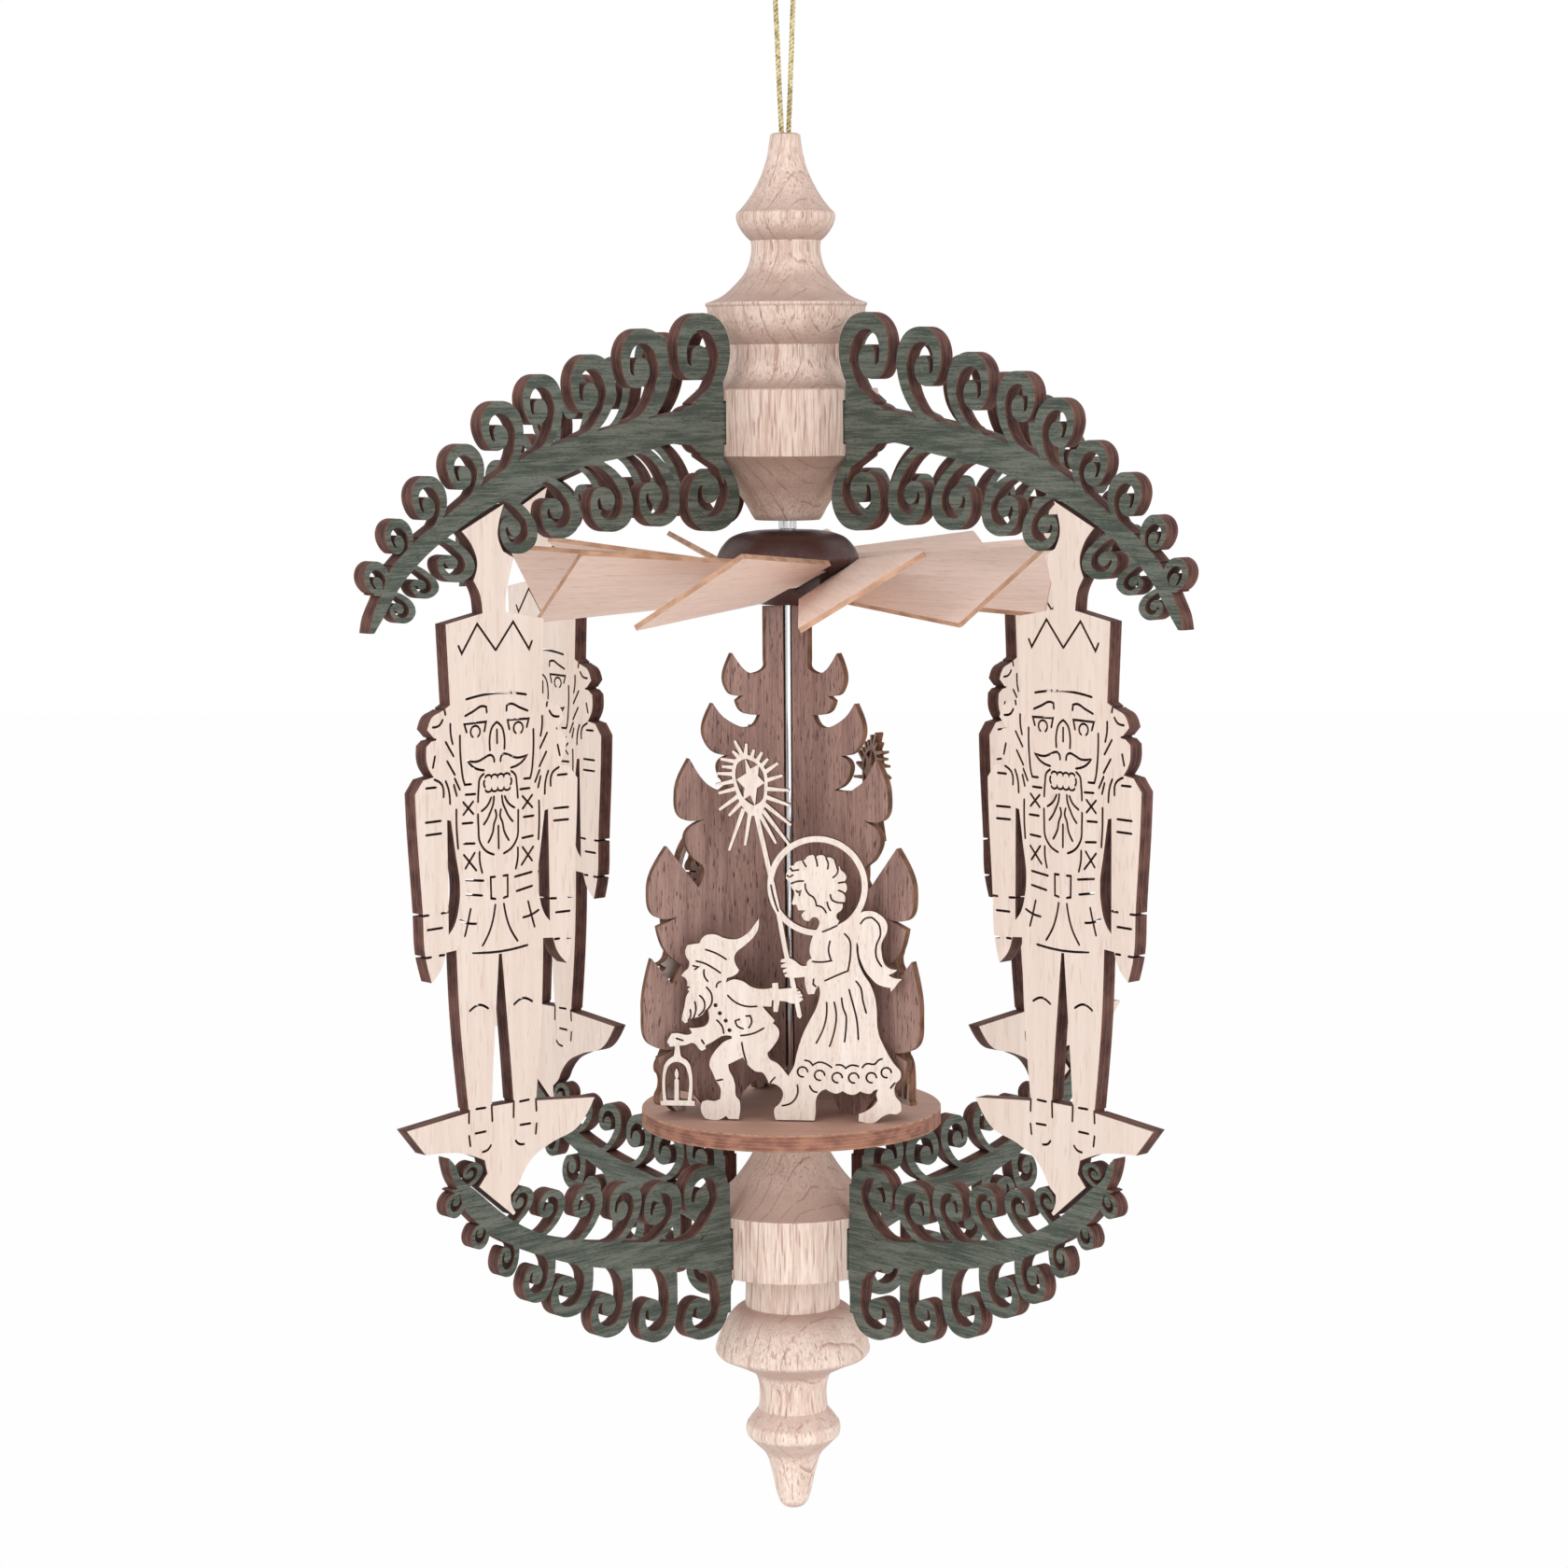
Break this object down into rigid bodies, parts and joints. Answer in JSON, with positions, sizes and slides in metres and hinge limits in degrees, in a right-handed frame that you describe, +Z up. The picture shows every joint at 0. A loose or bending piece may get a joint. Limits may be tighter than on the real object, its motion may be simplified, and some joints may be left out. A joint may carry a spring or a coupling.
{
  "type": "hanging warm-air carousel",
  "caption": "Hanging plywood carousel: a cage of nutcracker panels and curled branches round a freely turning rotor with fan blades, half trees and figure panels.",
  "frame": {"origin": "the point inside the top of the cord loop where it lies on its hook, on the rotor's axis", "axes": "+Z up along the rotor's axis, the four side panels on the diagonals between X and Y"},
  "size_m": [0.1428, 0.1428, 0.3037],
  "materials": {
    "beech": "turned beech, fine sanded, waxed",
    "pale_ply": "laser-cut birch plywood, bare, browned edges",
    "green_stain": "laser-cut plywood, grey-green stain, browned edges",
    "walnut_ply": "laser-cut walnut-faced plywood, bare",
    "dark_turned_wood": "turned, dark stain, satin",
    "rosy_ply": "thin plywood, bare, browned edges",
    "steel": "polished",
    "brass": "bright",
    "gold_cord": "twisted metallic thread"
  },
  "bodies": {
    "cage": {"upper_body": "beech", "lower_body": "beech", "upper_bearing_tube": "steel", "lower_bearing_cup": "brass", "upper_branch_back_right": "green_stain", "upper_branch_back_left": "green_stain", "upper_branch_front_left": "green_stain", "upper_branch_front_right": "green_stain", "lower_branch_back_right": "green_stain", "lower_branch_back_left": "green_stain", "lower_branch_front_left": "green_stain", "lower_branch_front_right": "green_stain", "nutcracker_back_right": "pale_ply", "nutcracker_back_left": "pale_ply", "nutcracker_front_left": "pale_ply", "nutcracker_front_right": "pale_ply", "hanging_cord": "gold_cord", "cord_knot": "gold_cord"},
    "rotor": {"axle": "steel", "blade_hub": "dark_turned_wood", "blade_1": "rosy_ply", "blade_2": "rosy_ply", "blade_3": "rosy_ply", "blade_4": "rosy_ply", "blade_5": "rosy_ply", "blade_6": "rosy_ply", "blade_7": "rosy_ply", "blade_8": "rosy_ply", "blade_9": "rosy_ply", "blade_10": "rosy_ply", "turntable": "rosy_ply", "half_tree_1": "walnut_ply", "half_tree_2": "walnut_ply", "half_tree_3": "walnut_ply", "figure_group_1": "pale_ply", "figure_group_2": "pale_ply", "figure_group_3": "pale_ply"}
  },
  "joints": [
    {"name": "rotor_spin", "type": "hinge", "parent": "cage", "child": "rotor", "pos_m": [0, 0, -0.23], "axis": [0, 0, 1], "continuous": true}
  ]
}
